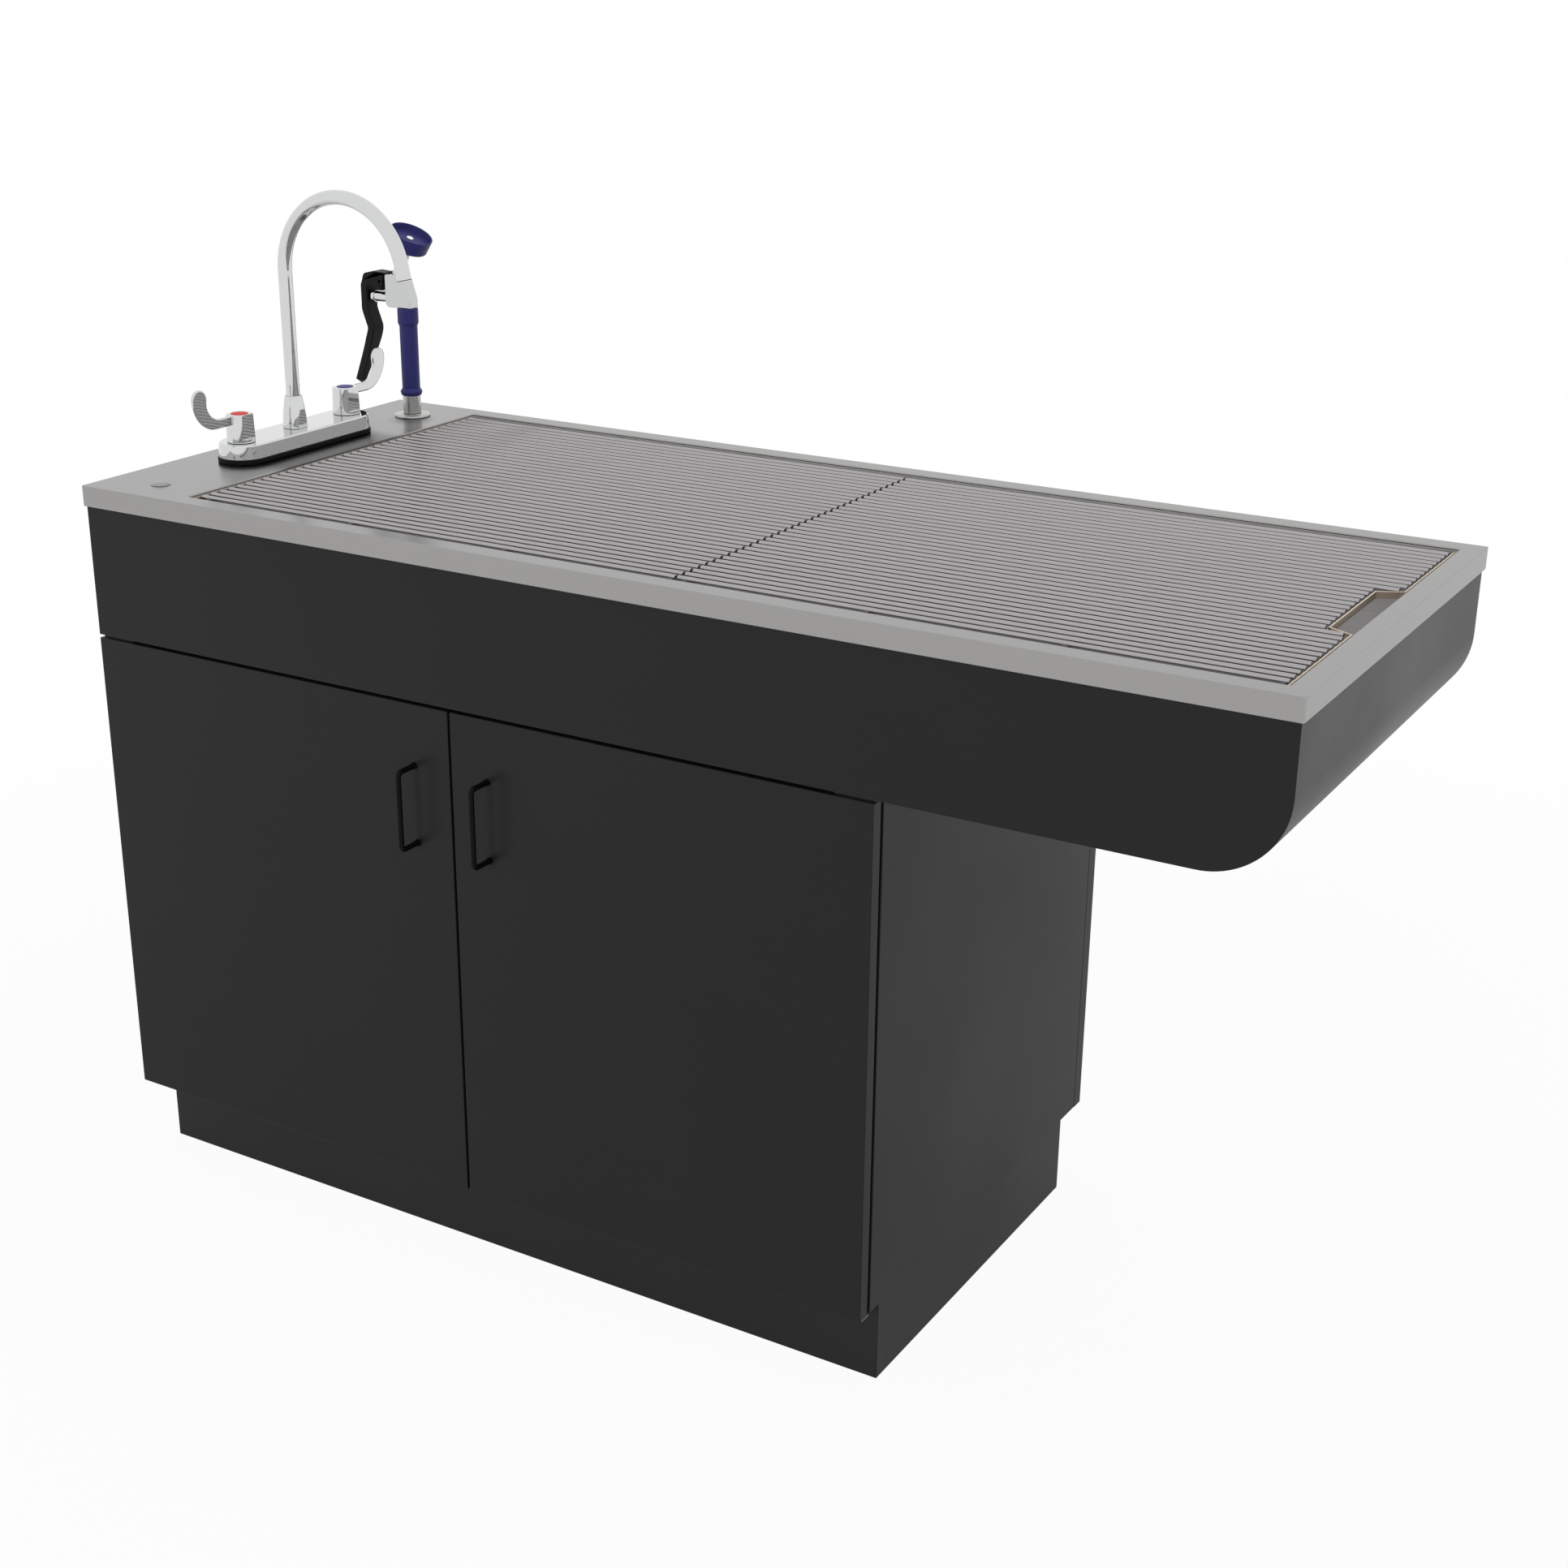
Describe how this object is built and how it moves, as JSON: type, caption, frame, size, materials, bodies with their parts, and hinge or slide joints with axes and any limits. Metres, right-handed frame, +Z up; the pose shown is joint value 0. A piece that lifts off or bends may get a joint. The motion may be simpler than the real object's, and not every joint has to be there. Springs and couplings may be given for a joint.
{
  "type": "veterinary_wet_table",
  "caption": "Stainless steel veterinary wet table: a long tub top with lift-out rod grates, deck faucet and hand spray, overhanging one end of a black cabinet with hinged doors",
  "frame": {"origin": "on the floor under the middle of the table top, in the under side of the plinth's middle rail", "axes": "+X along the length, away from the faucet, +Y to the back, away from the doors, +Z up"},
  "size_m": [1.5336, 0.6399, 1.2431],
  "materials": {
    "black_panel": "black laminate on board",
    "black_plinth": "black laminate on board",
    "stainless_steel": "brushed",
    "chrome": "polished",
    "valve_brass": "satin",
    "hinge_steel": "satin",
    "black_wire": "satin",
    "black_rubber": "matte",
    "blue_plastic": "satin",
    "lever_plastic": "satin",
    "red_cap": "gloss",
    "blue_cap": "gloss",
    "pipe_plastic": "satin"
  },
  "bodies": {
    "table": {"plinth_front": "black_plinth", "plinth_back": "black_plinth", "plinth_left": "black_plinth", "plinth_right": "black_plinth", "plinth_rail": "black_plinth", "cabinet_left_side": "black_panel", "cabinet_right_side": "black_panel", "cabinet_floor": "black_panel", "cabinet_back": "black_panel", "top_rail_front": "black_panel", "top_rail_back": "black_panel", "left_door_hinge_top": "hinge_steel", "left_door_hinge_bottom": "hinge_steel", "right_door_hinge_top": "hinge_steel", "right_door_hinge_bottom": "hinge_steel", "apron_front": "black_panel", "apron_back": "black_panel", "apron_left_end": "black_panel", "apron_wrap": "black_panel", "top_frame": "stainless_steel", "basin": "stainless_steel", "drain_flange": "stainless_steel", "drain_nut": "stainless_steel", "drain_slip_nut": "pipe_plastic", "drain_pipe": "pipe_plastic", "trap_inlet_nut": "pipe_plastic", "trap_bend": "pipe_plastic", "trap_outlet_nut": "pipe_plastic", "trap_arm": "pipe_plastic", "faucet_gasket": "black_rubber", "faucet_plate": "chrome", "hot_valve": "valve_brass", "cold_valve": "valve_brass", "spout_socket": "chrome", "hot_shank_nut": "valve_brass", "spout_shank_nut": "valve_brass", "cold_shank_nut": "valve_brass", "spray_flange": "chrome", "spray_nut": "valve_brass", "hole_plug": "stainless_steel"},
    "left_door": {"left_door": "black_panel", "left_door_pull": "black_wire"},
    "right_door": {"right_door": "black_panel", "right_door_pull": "black_wire"},
    "spout": {"spout": "chrome"},
    "hot_handle": {"hot_handle": "chrome", "hot_cap": "red_cap"},
    "cold_handle": {"cold_handle": "chrome", "cold_cap": "blue_cap"},
    "spray_gun": {"spray_ferrule": "chrome", "spray_grip": "blue_plastic", "spray_valve_body": "chrome", "spray_bumper": "blue_plastic", "spray_nozzle": "chrome", "spray_lever_pin": "hinge_steel"},
    "spray_lever": {"spray_lever": "lever_plastic"},
    "spray_plunger": {"spray_plunger": "chrome"},
    "left_grate": {"left_grate": "stainless_steel"},
    "right_grate": {"right_grate": "stainless_steel"}
  },
  "joints": [
    {"name": "left_door_hinge", "type": "hinge", "parent": "table", "child": "left_door", "pos_m": [-0.75265, -0.2891, 0.4136], "axis": [0, 0, -1], "range_deg": [0, 110]},
    {"name": "right_door_hinge", "type": "hinge", "parent": "table", "child": "right_door", "pos_m": [0.32225, -0.2891, 0.4136], "axis": [0, 0, 1], "range_deg": [0, 110]},
    {"name": "spout_swivel", "type": "hinge", "parent": "table", "child": "spout", "pos_m": [-0.687, 0, 0.9803], "axis": [0, 0, 1], "range_deg": [-75, 75]},
    {"name": "hot_handle_turn", "type": "hinge", "parent": "table", "child": "hot_handle", "pos_m": [-0.687, -0.1016, 0.9402], "axis": [0, 0, 1], "range_deg": [0, 90]},
    {"name": "cold_handle_turn", "type": "hinge", "parent": "table", "child": "cold_handle", "pos_m": [-0.687, 0.1016, 0.9402], "axis": [0, 0, -1], "range_deg": [0, 90]},
    {"name": "spray_lift", "type": "slide", "parent": "table", "child": "spray_gun", "axis": [0, 0, 1], "range_m": [0, 0.15]},
    {"name": "spray_lever_squeeze", "type": "hinge", "parent": "spray_gun", "child": "spray_lever", "pos_m": [-0.716, 0.2282, 1.0941], "axis": [0, -1, 0], "range_deg": [0, 12], "stiffness_Nm_per_rad": 1, "springref_deg": -8.59},
    {"name": "spray_plunger_push", "type": "slide", "parent": "spray_gun", "child": "spray_plunger", "axis": [1, 0, 0], "range_m": [0, 0.005]},
    {"name": "left_grate_lift", "type": "slide", "parent": "table", "child": "left_grate", "axis": [0, 0, 1], "range_m": [0, 0.15]},
    {"name": "right_grate_lift", "type": "slide", "parent": "table", "child": "right_grate", "axis": [0, 0, 1], "range_m": [0, 0.15]}
  ],
  "couplings": [
    {"joint": "spray_plunger_push", "follows": "spray_lever_squeeze", "m_per_rad": 0.0216}
  ]
}
